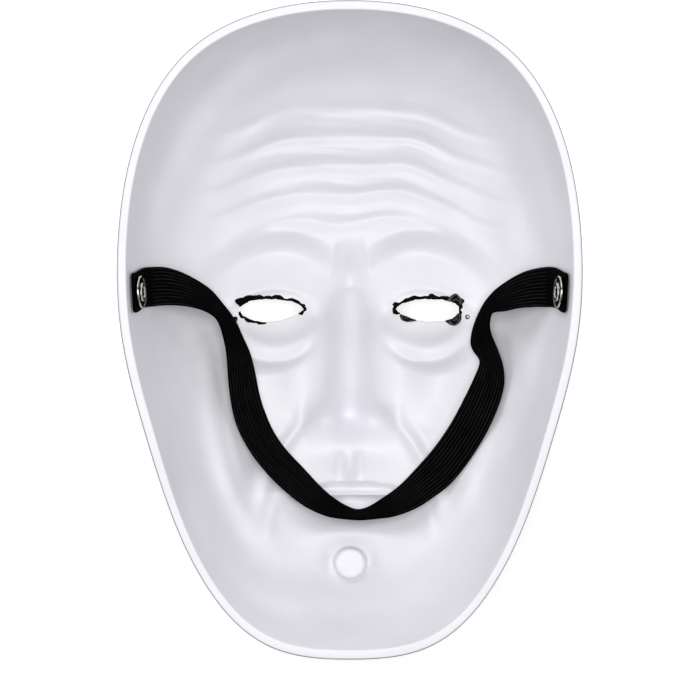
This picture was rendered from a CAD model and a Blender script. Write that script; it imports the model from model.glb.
import math

import bpy
import numpy as np
from mathutils import Matrix, Vector
from mathutils.geometry import delaunay_2d_cdt


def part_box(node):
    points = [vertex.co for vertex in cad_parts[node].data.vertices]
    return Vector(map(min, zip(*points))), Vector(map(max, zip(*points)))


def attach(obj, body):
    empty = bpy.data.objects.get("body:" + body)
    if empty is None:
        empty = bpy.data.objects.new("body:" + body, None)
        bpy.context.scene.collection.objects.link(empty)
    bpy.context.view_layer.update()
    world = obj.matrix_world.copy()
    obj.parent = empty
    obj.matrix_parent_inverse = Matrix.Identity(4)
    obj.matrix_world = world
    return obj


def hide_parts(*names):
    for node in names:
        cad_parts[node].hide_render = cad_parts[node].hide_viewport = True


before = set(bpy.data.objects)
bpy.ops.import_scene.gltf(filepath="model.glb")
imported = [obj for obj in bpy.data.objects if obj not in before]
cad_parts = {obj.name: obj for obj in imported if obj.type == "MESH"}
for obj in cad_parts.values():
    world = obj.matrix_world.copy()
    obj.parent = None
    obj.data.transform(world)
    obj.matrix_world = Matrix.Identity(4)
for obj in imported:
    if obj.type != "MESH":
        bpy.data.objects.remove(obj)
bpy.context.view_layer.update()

bl_info = {
    "name": "Clown mask",
    "version": (1, 0, 0),
    "blender": (4, 5, 0),
    "location": "3D View > Sidebar > Clown mask",
    "description": "A moulded plastic clown mask with an elastic head band, lying with its open back up",
    "category": "Add Mesh",
}

# The mask is worked out in a frame of its own, in millimetres: +X to the right and +Y to the forehead
# as seen from the open back, +Z out of the open back, with its rim near z = 0.
MM = 0.001
TINY = 1e-12  # keeps a division from zero
REST_TILT = math.radians(12.8)
HANDS = {-1: "left", 1: "right"}  # the two sides, as the sign of x and as a word

# Rim: outer radius every RIM_STEP degrees, from the chin up to the crown
RIM_STEP = 15
RIM_RADII = np.array([128, 128.2, 113.7, 99.4, 90.6, 87.9, 89.5, 94.1, 102.7, 115.2, 127, 129.7, 129.4])
RIM_DIP = 5
RIM_SAMPLES = 2881
LIP_WIDTH = 3.7
LIP_THICKNESS = 1.6
LIP_ROUND = 0.5
BOWL_DEPTH = 58
BOWL_DOME = 8
WALL_TURN_SIDE = 15.7
WALL_TURN_END = 22
RIM_FADE = 6
WALL_SEARCH, HALVINGS = (50.0, 88.0), 40  # where the side walls are looked for, and how often that is halved

# Relief of the face. A mound is (x, y, reach in x, reach in y, height outwards); both sides alike
MOUNDS = {
    "forehead": (0, 60, 50, 34, 0.8),
    "forehead_boss": (28, 62, 22, 22, 3),
    "temple": (68, 34, 13, 24, -3),
    "glabella": (0, 25, 9, 9, 3),
    "eye_socket": (30, 9, 18, 11, -8),
    "inner_corner": (13, 8, 6, 8, -3),
    "eyelid": (31, 8, 13.5, 8, 4.5),
    "cheek": (43, -24, 20, 18, 6.5),
    "cheek_pad": (31, -50, 10, 15, 2),
    "nose_ball": (0, -35, 8.5, 8, 4.6),
    "nose_wing": (12.5, -38, 5, 6, 8),
    "nose_side": (9, -20, 9, 17, 2.5),
    "muzzle": (0, -66, 30, 20, 5),
    "mouth_corner": (28, -66, 5, 5, -2.4),
    "chin_hollow": (0, -83, 22, 5.5, -3),
    "chin_ball": (0, -101, 19, 13, 11),
    "stub_pit": (8.6, -95, 2.3, 4.6, 1.4),
}
# A fold is (start, end, bow, width, height outwards, upright). One that starts left of the middle runs
# across it, and the others are on both sides alike
FOLDS = {
    "brow": ((8, 25), (56, 20), 9, 6.5, 5.5, False),
    "brow_crease": ((10, 36), (60, 29), 10, 4, -1.6, False),
    "upper_lid_fold": ((14, 13.5), (49, 11), 6, 2.2, -1.6, False),
    "eye_bag": ((15, 0), (47, 1), -7, 3, 1.5, False),
    "eye_bag_groove": ((14, -5), (49, -4), -8.5, 2.4, -1.4, False),
    "under_eye_fold": ((19, -12), (54, -8), -8, 3.4, 1.1, False),
    "crow_foot_upper": ((49, 13), (66, 19), 1, 2.0, -0.7, False),
    "crow_foot_middle": ((51, 8), (68, 8.5), 0, 1.6, -0.5, False),
    "crow_foot_lower": ((50, 3), (66, -1), -1, 2.0, -0.7, False),
    "frown_line": ((6, 38), (7.5, 22), 1, 1.7, -0.8, True),
    "lid_line": ((17, -8), (38, -10.5), -3, 1.3, -0.4, False),
    "nose_wing_groove": ((18.3, -28), (18.8, -44), 1.4, 2.3, -0.8, True),
    "nose_root_line": ((-9, 17), (9, 17), 1.2, 1.5, -0.5, False),
    "smile_line": ((16, -33), (37, -76), 4.5, 3.0, -2.4, True),
    "smile_roll": ((23, -36), (43, -74), 4.5, 4.5, 1.1, True),
    "cheek_line": ((58, -12), (40, -80), 5, 4.0, -1.8, True),
    "cheek_line_inner": ((50, -24), (39, -70), 3, 2.0, -0.5, True),
    "mouth_corner_line": ((30, -70), (33, -86), 1, 2.2, -0.9, True),
    "philtrum": ((0, -49), (0, -61), 0, 2.2, -1.0, True),
    "philtrum_edge": ((3.6, -49), (4.6, -61), 0, 1.4, 0.6, True),
}
FOLD_FADE = 1.5
NOSE_TOP, NOSE_TIP, NOSE_FOOT, NOSE_OUT = 20, -35, -48, 20
NOSE_TOP_WIDTH, NOSE_TIP_WIDTH, NOSE_TOP_SHARE = 5.5, 9, 0.3
NOSE_ROOT_ABOVE, NOSE_ROOT_BELOW, NOSE_SQUARENESS = 14, 10, 2.2
LIPS_Y, LIPS_HALF, LIPS_OUT = -66.5, 26, 3.0
UPPER_LIP, LOWER_LIP, LEAST_LIP, LOWER_LIP_SHARE = 5.4, 7.2, 0.2, 1.1
LIPS_BOW, LIPS_PEAK, LIPS_PEAK_REACH = 1.3, 0.6, 5  # how the line between the lips bends
LIPS_NOTCH, LIPS_NOTCH_REACH = 0.2, 3.2  # how the upper lip thins in its middle
MOUTH_LINE_DEPTH, MOUTH_LINE_WIDTH, MOUTH_LINE_HALF = 1.9, 1.3, LIPS_HALF + 4

# Furrows across the brow
FURROW_PITCH, FURROW_OUT, FURROW_CREASE = 11.5, 1.05, 0.24
FURROW_MIDDLE, FURROW_REACH, FURROW_SIDE = 66, 26, 52
FURROW_SINK, FURROW_WAVE, FURROW_WAVE_LENGTH = 0.004, 1.5, 52
FURROW_END_CHANGE, FURROW_END_TURN, FURROW_END_LAG = 0.14, 0.55, 0.8  # how they differ in length
FINE_CREASE, FINE_CREASE_TURN, FINE_CREASE_DRIFT, FINE_CREASE_REACH = 0.10, 3.1, 0.16, 40

# Waves over the plan: (turn for each millimetre of x, and of y, start of the turn, size)
FURROW_WANDER = [(0.09, 0.06, 0, 0.7), (0.21, -0.11, 1.0, 0.4)]
FURROW_CHANGE = [(0.07, 0.19, 2.0, 0.22)]
BROAD_WAVES = [
    (0.17, 0.05, 1.1, 1), (-0.10, 0.13, 2.3, 1), (0.14, -0.09, 0.4, 1), (0.29, 0.12, 0, 0.5),
    (0.23, -0.20, 2.9, 0.4),
]
BROAD_SUM = 3.3  # about what their sizes add up to
# Swells that follow the walls, bent by waves round the mask: (number of waves, start, size)
SWELL_TURN, SWELL_OUT, SWELL_REACH = 0.36, 0.8, 38
SWELL_BENDS = [(2, 0.6, 1.6), (5, 0, 1.2)]
SWELL_EVEN, SWELL_PATCHY = 0.55, 0.45
# How far the moulding wanders from its plain form, how far inward it has its full size, and the share of it
# that goes straight outwards
UNEVEN, UNEVEN_FADE, UNEVEN_RISE = 1.3, 10, 0.25

# Eye slits: half of one, from its inner corner round, in shares of half its length and height
SLIT_Y = 8.5
SLIT_SHAPE = [
    (-1.00, 0.12), (-0.87, 0.50), (-0.56, 0.80), (-0.12, 0.96), (0.36, 0.94), (0.76, 0.70), (0.98, 0.26),
    (0.96, -0.26), (0.70, -0.78), (0.26, -1.00), (-0.24, -0.90), (-0.64, -0.58), (-0.90, -0.20),
]
PINS = {-1: (46.8, 4.9), 1: (48.3, 5.8)}  # outwards and up from the middle
PIN_RADIUS, PIN_UNEVEN = 0.8, 0.08
# Waves along a closed line: (how many go round it, size)
RAGGED_WAVES = [(5, 0.4), (9, 0.5), (14, 0.45), (23, 0.35), (37, 0.25), (61, 0.15)]
LUMPY_WAVES = [(8, 0.5), (13, 0.5), (21, 0.3)]
SLIT_SEED, LUMP_SEED, PIN_SEED, FLAKE_SEED = 20, 5, 40, 60
SLIT_POINTS, PIN_POINTS, FLAKE_POINTS, ROUND_POINTS = 150, 22, 72, 96

# Paint and torn plastic round the slits: (direction in degrees, spread, reach, height); 0 is outwards
LUMPS = {
    -1: [
        (44, 13, 2.4, 0.9), (27, 8, 1.8, 0.7), (64, 14, 1.9, 0.6), (84, 7, 1.7, 0.5),
        (98, 20, 1.4, 0.45), (135, 24, 1.15, 0.4), (168, 14, 1.5, 0.5), (190, 10, 1.0, 0.3),
        (340, 13, 1.2, 0.4), (312, 13, 1.6, 0.5), (290, 10, 0.9, 0.3),
    ],
    1: [
        (182, 11, 2.2, 0.7), (160, 14, 1.8, 0.6), (122, 26, 1.5, 0.5), (86, 22, 1.6, 0.5),
        (58, 12, 1.9, 0.6), (37, 8, 2.2, 0.7), (14, 12, 1.4, 0.5), (346, 16, 1.0, 0.35),
        (318, 13, 1.1, 0.35),
    ],
}
# Flakes that hang on at the slits: side, outline outwards and up from the slit's middle, thickness, and
# how grey their streaks are
FLAKES = {
    "moon_flake": (1, [
        (7.2, -4.2), (8.8, -5.7), (11.0, -6.2), (13.0, -5.0), (13.8, -3.0), (13.3, -1.0), (11.8, -2.2),
        (9.6, -3.6),
    ], 0.9, 0.75),
    "inner_flake": (1, [
        (-11.4, -1.7), (-11.0, -3.6), (-8.8, -4.7), (-6.2, -4.6), (-4.6, -4.1), (-6.8, -3.2), (-9.2, -2.2),
    ], 0.6, 0.8),
    "corner_flap": (1, [
        (7.6, 4.3), (8.9, 5.5), (11.0, 6.8), (12.2, 6.3), (13.4, 5.1), (14.9, 4.1), (14.3, 2.8),
        (13.0, 1.3), (12.0, 2.3), (10.2, 3.4),
    ], 0.7, 0.9),
    "outer_clot": (-1, [
        (6.0, 4.4), (7.0, 5.7), (9.0, 6.2), (10.9, 5.5), (12.0, 5.2), (13.6, 4.9), (15.0, 4.0),
        (14.6, 2.9), (13.0, 2.1), (10.8, 3.2), (8.4, 4.0),
    ], 0.9, 0.0),
}

# Section of the paint along a cut edge, from the front of the wall over the edge to the inside surface:
# (share of the lump's reach, further out, share of the wall's thickness, share of the lump's height, lift)
BURR_SECTION = [
    (0, 0.12, -0.98, 0, 0), (0, -0.16, -0.75, 0, 0), (0, -0.30, -0.25, 0, 0), (0, -0.26, 0, 0.35, 0),
    (0.08, -0.12, 0, 0.8, 0), (0.32, 0, 0, 1, 0), (0.62, 0, 0, 0.8, 0), (0.86, 0, 0, 0.42, 0),
    (1, 0.06, 0, 0, -0.12), (0.6, 0.06, 0, 0, -0.5),
]
BURR_UNEVEN, BURR_LEAST_REACH, BURR_LEAST_HEIGHT = 0.3, 0.35, 0.4
BARE_REACH, BARE_FADE = 0.12, 0.25  # where a cut edge has no lump, the ring sinks into the wall
BARE_SUNK, BARE_DROP = 0.6, 0.8
# Paint at the two pin holes: how far it closes each, how much there is, and how grey it is
PIN_CLOSING = {-1: 0.66, 1: 0.3}
PIN_PAINT = {-1: 1, 1: 0.5}
PIN_GREY = {-1: 0.5, 1: 1.0}
PIN_REACH, PIN_ONE_SIDED, PIN_LUMPY = 0.25, 0.2, 0.05
# Section of a flake, from its underside over its edge to its middle: (share of the way out, of the thickness)
FLAKE_SECTION = [
    (0.3, -0.6), (0.9, -0.4), (0.99, -0.1), (1.0, 0.3), (0.96, 0.65), (0.88, 0.9), (0.78, 1.0),
    (0.66, 0.96), (0.5, 0.84), (0.34, 0.78), (0.18, 0.76), (0.06, 0.76),
]
FLAKE_RAGGED, FLAKE_UNEVEN, FLAKE_TWIST = 0.02, 0.14, 3

# Stub in the chin. Its foot and head are rows of (how much wider than its radius, height); the foot's heights
# are over the moulding and the head's over the stub's top
BOSS_X, BOSS_Y, BOSS_RADIUS, BOSS_TOP = 0.2, -94.9, 6.1, -57
BOSS_FOOT = [(-0.5, -0.6), (1.6, -0.08), (0.95, 0.10), (0.75, 0.38), (0.6, 0.85)]
BOSS_HEAD = [
    (0.25, -1.6), (0.1, -1.0), (-0.16, -0.6), (-0.42, -0.25), (-0.85, -0.06), (-1.5, 0),
    (-0.6 * BOSS_RADIUS, -0.05),
]

# The face's surface: a net of triangles in the middle, and rings of points from there to the rim
PATCH_SHARE = 0.80
PATCH_HALF_LENGTH, PATCH_HALF_WIDTH = 120, 80
BORDER_GAP, HALO_GAP = 0.6, 0.5  # shares of the pitch
HOLE_GAP, HOLE_REACH, SAME_POINT = 0.5, 20, 1e-7
RING_POINTS = 640
WALL_RINGS, WALL_CROWDING = 26, 1.6
RIM_GAP = 0.0008  # share of the hollow's radius that the last ring stops short
HALO = [(0.35, 1), (0.8, 1), (1.4, 2), (2.1, 2)]  # rings of points round a hole: (distance, every so many)
BACK_STEP = 1.0  # over this distance the back's directions are evened out
# Under the lip, the back of the wall spreads out to meet it
UNDER_LIP, UNDER_LIP_OUT, UNDER_LIP_SPREAD, UNDER_LIP_DROP = 0.6, 0.75, 2.2, 0.1
# Section of the lip, from the hollow over the top and round to the underside: the line that it is measured
# from, distance out, height, 1 where the front's paint is, and 1 where the edge is rubbed grey
LIP_SECTION = [
    ("hollow", 0.02, -0.26, 0, 0), ("hollow", 0.14, -0.10, 0, 0), ("hollow", 0.34, -0.02, 0, 0),
    ("hollow", 0.6, 0.0, 0, 0), ("hollow", LIP_WIDTH / 2, 0.02, 0, 0), ("rim", -0.75, 0.0, 0, 0),
    ("rim", -0.45, -0.03, 0, 0.5), ("rim", -0.2, -0.12, 0, 1), ("rim", -0.05, -0.28, 0, 1),
    ("rim", 0, -0.5, 0, 1), ("rim", 0, -1.0, 0, 1), ("rim", -0.06, -1.35, 1, 1),
    ("rim", -0.25, -1.55, 1, 1), ("rim", -0.5, -1.6, 1, 1),
]

# Make-up on the front: (x, y, reach in x, reach in y) of each round patch; both sides alike
RED_PATCHES = {"cheek": (45, -27, 12.5, 12.5), "nose": (0, -36, 17, 14), "lips": (0, -67.5, 25, 7.2)}
EYE_PATCH_REACH, DIAMOND_REACH = (17, 9), (5.2, 30)
BROW_X, BROW_Y, BROW_BEND, BROW_HALF, BROW_THIN = 36, 56.5, 0.018, 14, 1.3
PAINT_WOBBLE = 1.6

# Finishes. The depths of their fine relief are in metres
PLASTIC_ROUGHNESS, PLASTIC_IOR, ORANGE_PEEL = (0.36, 0.46), 1.47, 0.00002
PAINT_CRUMBS, THREAD_RELIEF, SCRATCH_DEPTH = 0.0002, 0.00006, 0.000004
THREAD_PITCH, THREAD_SHINE, THREAD_SHADOW = 0.55, 16, 0.6  # the last two scale the thread's colour
PLAIN_CREASE, CUT_CREASE, BAND_CREASE = 40, 60, 70  # sharpest bend, in degrees, that is shaded smooth
SPECK_GREY = (0.42, 0.41, 0.44)
RUBBED_GREY = (0.22, 0.22, 0.24)
DRY_PAINT = (0.015, 0.015, 0.015)
WORN_PAINT = (0.12, 0.12, 0.12)
DIRT = (0.03, 0.027, 0.024)
FLOOR_GLOW = (1.0, 1.0, 1.0)

# Stage, in metres. A light is (name, place, width, the setting that holds its power)
CAMERA_AIM = (0.2, -7.4, 0)  # in the mask's own frame
SENSOR, FARTHEST_SEEN, FLOOR_SIZE = 36, 20, 6
LIGHT_AIM = (0, 0, 0.04)
LIGHTS = [
    ("key", (-0.4, 1.6, 0.75), 1.4, "key"),
    ("left", (-1.3, 0.1, 0.9), 1.2, "sides"),
    ("right", (1.3, 0.1, 0.9), 1.2, "sides"),
    ("front", (0.0, 0.45, 1.75), 1.0, "front"),
]
SKY_COLOUR = (0.985, 0.985, 1.0, 1.0)

RIVET_Y, RIVET_DEPTH = 15.2, 12
BARREL_RADIUS, PLAY = 2.5, 0.3
BEYOND_FACE = 60  # the rivets go through where x is more than this
# Outlines turned about a rivet's axis: (radius, height over the wall, how sunk and dark)
WASHER_OUTLINE = [
    (2.9, 2.3, 1), (3.1, 2.25, 1), (5.6, 2.25, 1), (6.0, 2.27, 0.6), (6.28, 2.38, 0), (6.44, 2.6, 0),
    (6.44, 2.86, 0), (6.3, 3.08, 0), (6.1, 3.2, 0), (5.85, 3.12, 0), (5.65, 2.92, 0.6), (5.5, 2.86, 1),
    (4.2, 2.86, 1), (3.4, 2.86, 1), (3.0, 2.85, 1), (2.9, 2.75, 1),
]
RIVET_OUTLINE = [
    (1.9, -2.3, 0.8), (2.0, -2.55, 0.3), (2.25, -2.68, 0), (2.8, -2.7, 0), (3.6, -2.64, 0),
    (4.2, -2.46, 0), (4.6, -2.15, 0), (4.75, -1.8, 0.2), (4.72, -1.6, 0.6), (4.5, -1.5, 1),
    (2.5, -1.5, 1), (2.5, 3.0, 1), (3.4, 3.0, 1), (3.62, 3.04, 0.7), (3.7, 3.18, 0.3), (3.6, 3.38, 0),
    (3.3, 3.56, 0), (2.9, 3.65, 0), (2.5, 3.63, 0), (2.15, 3.5, 0.3), (1.95, 3.28, 1), (1.9, 3.0, 1),
]
RIVET_LEAN = 0.05  # how far a rivet leans, as a slope
DULL_START, DULL_FADE = -0.1, 0.6  # from where to where the loopward side is dulled
# What each rivet is made of: name, outline, how dull it is loopwards, and the solid that it stands for
RIVET_PARTS = [
    ("band_washer", WASHER_OUTLINE, 0.85, "washer"),
    ("hollow_rivet", RIVET_OUTLINE, 0.3, "rivet"),
]

# Band: as in the solid model, its two ends on the side walls and the loop between them.
# Each row of the route is x, y of its inner edge, x, y of its outer edge as seen from SEEN_FROM over the rim,
# and the height of its inner edge
BAND_END_GAP = 0.5
BAND_END_PLACES = [(5, 14.9), (10, 15.1), (15, 16.2), (20, 17.2)]  # depth below the rim, y of its middle
SEEN_FROM = 1200
BAND_STEP = 0.62
EVEN_POINTS, EVEN_REACH = 9, 4.5  # how far along it the band is evened out, in points
# The moulding is even this near to the band, whose places on it are those of the route, spread a little,
# and some spots at its ends
NEAR_BAND, BAND_SPREAD = 8, 1.05
BAND_END_X, BAND_END_SPOTS = 84, (7, 15, 23)
RIB_CREST = 0.11  # share of a rib's height, from its top, that catches the light
RIB_POINTS, RIB_ROUNDNESS = 6, 0.7
BAND_EDGE_RIBS, BAND_EDGE_THINNING = 0.5, 0.5  # its two edges thin out over half a rib, by half
END_PRESSED, END_PRESSED_REACH, END_CORNER = 0.35, 0.8, 1.4
SCALLOP, SCALLOP_PITCH = 0.05, 1.4
# How open the ribs are where the band stands on edge, and from how flat it lies they open
OPEN_RIBS_LEAST, OPEN_RIBS_START, OPEN_RIBS_FADE = 0.2, 0.3, 0.4
BAND_ROUTE = [
    (-77, 25, -77, 9.5, -27), (-72, 25, -72, 10, -32), (-65.5, 23, -67, 9.9, -38),
    (-59.5, 19.9, -62.5, 9.4, -44), (-54, 16, -58, 8.3, -49.5), (-49.5, 10.5, -53.6, 6.3, -54),
    (-44.9, 4.5, -50.9, 3.1, -58), (-41.7, -2.5, -49, -3.5, -61), (-39, -8, -48.1, -9, -62.5),
    (-37, -15.5, -47.6, -17, -65), (-35, -25.5, -46.5, -27, -66), (-32.5, -33, -44.5, -36, -65.8),
    (-29.5, -39.5, -40.5, -44.5, -65.2), (-25, -46, -35, -52.5, -63.5), (-17.5, -54, -27, -61, -64.5),
    (-10.5, -61.5, -17.5, -68.5, -65), (-4.5, -66.5, -8, -72.5, -65), (0, -69, -2, -73.1, -65.3),
    (3, -70, 3.5, -73.6, -65.3), (7, -69, 9.5, -73.1, -65.2), (13, -65.1, 16.5, -72.5, -64.5),
    (19.5, -60.2, 25, -69.7, -63.5), (25.5, -54, 32.5, -65, -62.5), (32.5, -46, 40.5, -58.5, -58.5),
    (39.4, -36, 50, -45.5, -56.4), (45, -25.5, 56.4, -33.5, -52.5), (49, -17, 60.2, -22, -56),
    (51, -11.5, 60.2, -15.5, -57.5), (49, -9, 59, -10.5, -59), (47, -5.5, 57, -5.5, -59),
    (47.5, -1, 55, -1, -57.5), (48.5, 2.5, 54.4, 2.2, -56), (50.5, 7.1, 54.8, 5.7, -54),
    (53, 11.6, 55.6, 7.5, -52), (56.5, 15.9, 60.5, 7.6, -49), (62, 20, 65, 8.8, -43.5),
    (68, 23.2, 70, 9.2, -37), (72.5, 24.4, 73, 9.4, -32), (77, 25.1, 77, 9.3, -27),
]


def length(name, description, default):
    return bpy.props.FloatProperty(
        name=name, description=description, default=default, unit="LENGTH", precision=5)


def colour(name, description, default):
    return bpy.props.FloatVectorProperty(
        name=name, description=description, default=default, size=3, subtype="COLOR", min=0, max=1)


def share(name, description, default, top=1.0):
    return bpy.props.FloatProperty(
        name=name, description=description, default=default, min=0, max=top)


def power(name, description, default):
    return bpy.props.FloatProperty(
        name=name, description=description, default=default, min=0, unit="POWER")


class ShellSettings(bpy.types.PropertyGroup):
    wall: length("Wall", "Thickness of the moulded plastic", 0.0012)
    pitch: length("Pitch", "Distance between the points of the face's surface", 0.0011)
    slit_spacing: length("Slit spacing", "Distance between the middles of the eye slits", 0.064)
    slit_length: length("Slit length", "Length of an eye slit", 0.0265)
    slit_height: length("Slit height", "Height of an eye slit", 0.0100)
    raggedness: length("Raggedness", "How far the hand cut of the slits wanders", 0.00022)
    plastic: colour("Plastic", "Colour of the bare plastic inside", (0.835, 0.828, 0.870))
    gloss_white: colour("White paint", "Ground colour of the painted front", (0.70, 0.693, 0.687))
    black: colour("Black paint", "Colour of the eye diamonds and brows", (0.006, 0.006, 0.007))
    red: colour("Red paint", "Colour of the nose, the lips and the cheeks", (0.55, 0.012, 0.015))


class CutSettings(bpy.types.PropertyGroup):
    reach: share("Reach", "Scale of how far the paint lumps reach over the inside", 1.0, 3.0)
    height: share("Height", "Scale of how high the paint lumps stand", 1.0, 3.0)
    paint: colour("Paint", "Colour of the thick paint on the cut edges", (0.0014, 0.0014, 0.0014))


class BandSettings(bpy.types.PropertyGroup):
    width: length("Width", "Width of the elastic", 0.0158)
    thickness: length("Thickness", "Thickness of the elastic at its ribs", 0.0012)
    rib_depth: length("Rib depth", "How deep the grooves between the ribs are", 0.00025)
    ribs: bpy.props.IntProperty(
        name="Ribs", description="Number of ribs across the elastic", default=11, min=4, max=30)
    thread: colour("Thread", "Colour of the elastic's thread", (0.0013, 0.0013, 0.0013))


class MetalSettings(bpy.types.PropertyGroup):
    nickel: colour("Nickel", "Colour of the washers and rivets", (0.74, 0.70, 0.63))
    tarnish: colour("Tarnish", "Colour of the metal where it is dull", (0.42, 0.37, 0.31))


class StageSettings(bpy.types.PropertyGroup):
    distance: length("Distance", "From the camera to the plane of the rim", 1.2)
    field: length("Field", "Width that the camera sees at the rim", 0.273)
    floor: colour("Floor", "Colour of the floor", (0.9, 0.9, 0.9))
    glow: share("Glow", "Light that the floor gives off", 0.40, 3.0)
    key: power("Key light", "Power of the large soft light over the crown", 9.5)
    sides: power("Side lights", "Power of the light at each side", 4.6)
    front: power("Front light", "Power of the light beside the camera", 19.3)
    sky: share("Surroundings", "Strength of the even light from all round", 0.13, 3.0)


def gauss(t):
    return np.exp(-t * t)


def smooth(t):
    t = np.clip(t, 0, 1)
    return t * t * (3 - 2 * t)


def rim_radius(phi):
    """Radius of the rim in the direction phi: a smooth curve through the radii."""
    last = len(RIM_RADII) - 1

    def mirrored(k):
        k = np.abs(k)
        return RIM_RADII[np.where(k > last, 2 * last - k, k)]

    def control(k):
        return (8 * mirrored(k) - mirrored(k - 1) - mirrored(k + 1)) / 6

    along = np.degrees(np.arcsin(np.clip(np.sin(phi), -1, 1))) / RIM_STEP + last / 2
    k = np.minimum(np.floor(along), last - 1).astype(int)
    f = along - k
    weights = [(1 - f) ** 3, 3 * f**3 - 6 * f**2 + 4, -3 * f**3 + 3 * f**2 + 3 * f + 1, f**3]
    return sum(weight * control(k - 1 + i) for i, weight in enumerate(weights)) / 6


def rim_height(phi):
    """Height of the rim, which dips towards the crown and the chin."""
    return -RIM_DIP * np.sin(phi) ** 2


def hollow_radius(phi):
    return rim_radius(phi) - LIP_WIDTH


def mound(x, y, middle_x, middle_y, reach_x, reach_y, out):
    sides = gauss((x - middle_x) / reach_x)
    if middle_x > 0:
        sides = sides + gauss((x + middle_x) / reach_x)
    return out * sides * gauss((y - middle_y) / reach_y)


def fold(x, y, start, end, bow, width, out, upright):
    side = x if start[0] < 0 else np.abs(x)
    along, across = (y, side) if upright else (side, y)
    k = 1 if upright else 0
    t = (along - start[k]) / (end[k] - start[k])
    line = start[1 - k] + (end[1 - k] - start[1 - k]) * t + bow * 4 * t * (1 - t)
    return out * gauss((across - line) / width) * np.exp(-FOLD_FADE * (2 * t - 1) ** 4)


def nose(x, y):
    t = np.clip((NOSE_TOP - y) / (NOSE_TOP - NOSE_TIP), 0, 1)
    under = smooth((y - NOSE_FOOT) / (NOSE_TIP - NOSE_FOOT))
    above = smooth((NOSE_TOP + NOSE_ROOT_ABOVE - y) / (NOSE_ROOT_ABOVE + NOSE_ROOT_BELOW))
    out = NOSE_OUT * (NOSE_TOP_SHARE + (1 - NOSE_TOP_SHARE) * t) * under * above
    width = NOSE_TOP_WIDTH + (NOSE_TIP_WIDTH - NOSE_TOP_WIDTH) * t
    return out * np.exp(-(np.abs(x / width) ** NOSE_SQUARENESS))


def lips(x, y):
    """Two lips with a line between them, thinning out towards the corners of the mouth."""
    full = np.clip(1 - (x / LIPS_HALF) ** 2, 0, 1)
    up = y - (LIPS_Y - LIPS_BOW * full + LIPS_PEAK * gauss(x / LIPS_PEAK_REACH))
    upper = UPPER_LIP * full**0.7 * (1 - LIPS_NOTCH * gauss(x / LIPS_NOTCH_REACH)) + LEAST_LIP
    lower = LOWER_LIP * full**0.8 + LEAST_LIP
    upper_swell = np.sin(math.pi * np.clip(up / upper, 0, 1) ** 0.8)
    lower_swell = LOWER_LIP_SHARE * np.sin(math.pi * np.clip(-up / lower, 0, 1) ** 0.9)
    line = MOUTH_LINE_DEPTH * gauss(up / MOUTH_LINE_WIDTH) * gauss(x / MOUTH_LINE_HALF) ** 2
    return LIPS_OUT * full**0.4 * (upper_swell + lower_swell) - line


def waves(x, y, rows, base=0):
    """Waves over the plan, added to the base."""
    for turn_x, turn_y, start, size in rows:
        base = base + size * np.sin(turn_x * x + turn_y * y + start)
    return base


def furrows(x, y):
    """Even waves across the brow, a little uneven in height and length, with fine creases between them."""
    level = y + FURROW_SINK * x * x + FURROW_WAVE * np.cos(2 * np.pi * x / FURROW_WAVE_LENGTH)
    level = waves(x, y, FURROW_WANDER, level)
    turn = 2 * np.pi * level / FURROW_PITCH
    ends = 1 + FURROW_END_CHANGE * np.sin(FURROW_END_TURN * level + FURROW_END_LAG * np.sign(x))
    field = np.exp(-(((y - FURROW_MIDDLE) / FURROW_REACH) ** 4) - (x / (FURROW_SIDE * ends)) ** 4)
    field = field * waves(x, y, FURROW_CHANGE, 1)
    fine = FINE_CREASE * np.cos(FINE_CREASE_TURN * turn + FINE_CREASE_DRIFT * x)
    fine = fine * gauss(x / FINE_CREASE_REACH)
    return FURROW_OUT * field * (np.cos(turn) + FURROW_CREASE * np.cos(2 * turn) + fine)


def undulation(x, y, phi, inward):
    """Soft unevenness of the moulding, about -1 to 1: broad waves, and long swells that follow the walls."""
    broad = waves(x, y, BROAD_WAVES) / BROAD_SUM
    turn = SWELL_TURN * inward
    for number, start, size in SWELL_BENDS:
        turn = turn + size * np.sin(number * phi + start)
    patchy = SWELL_EVEN + SWELL_PATCHY * np.sin(3 * phi + 1.0)
    return broad + SWELL_OUT * np.sin(turn) * patchy * gauss(inward / SWELL_REACH)


def near_band(x, y):
    """1 under the band and 0 well away from it, where the moulding may be uneven."""
    route = np.array([
        [(1 - part) * row[0] + part * row[2], (1 - part) * row[1] + part * row[3]]
        for row in BAND_ROUTE for part in (0, 0.5, 1)]) * BAND_SPREAD
    ends = [[side * BAND_END_X, spot] for side in HANDS for spot in BAND_END_SPOTS]
    x, y = np.asarray(x, float), np.asarray(y, float)
    nearest = np.full(np.broadcast(x, y).shape, np.inf)
    for place in [*route, *ends]:
        nearest = np.minimum(nearest, (x - place[0]) ** 2 + (y - place[1]) ** 2)
    return np.exp(-(nearest / NEAR_BAND**2) ** 2)


def relief(x, y):
    """How far the face stands outwards of the plain bowl."""
    mounds = sum(mound(x, y, *m) for m in MOUNDS.values())
    folds = sum(fold(x, y, *f) for f in FOLDS.values())
    return mounds + folds + nose(x, y) + lips(x, y) + furrows(x, y)


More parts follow.
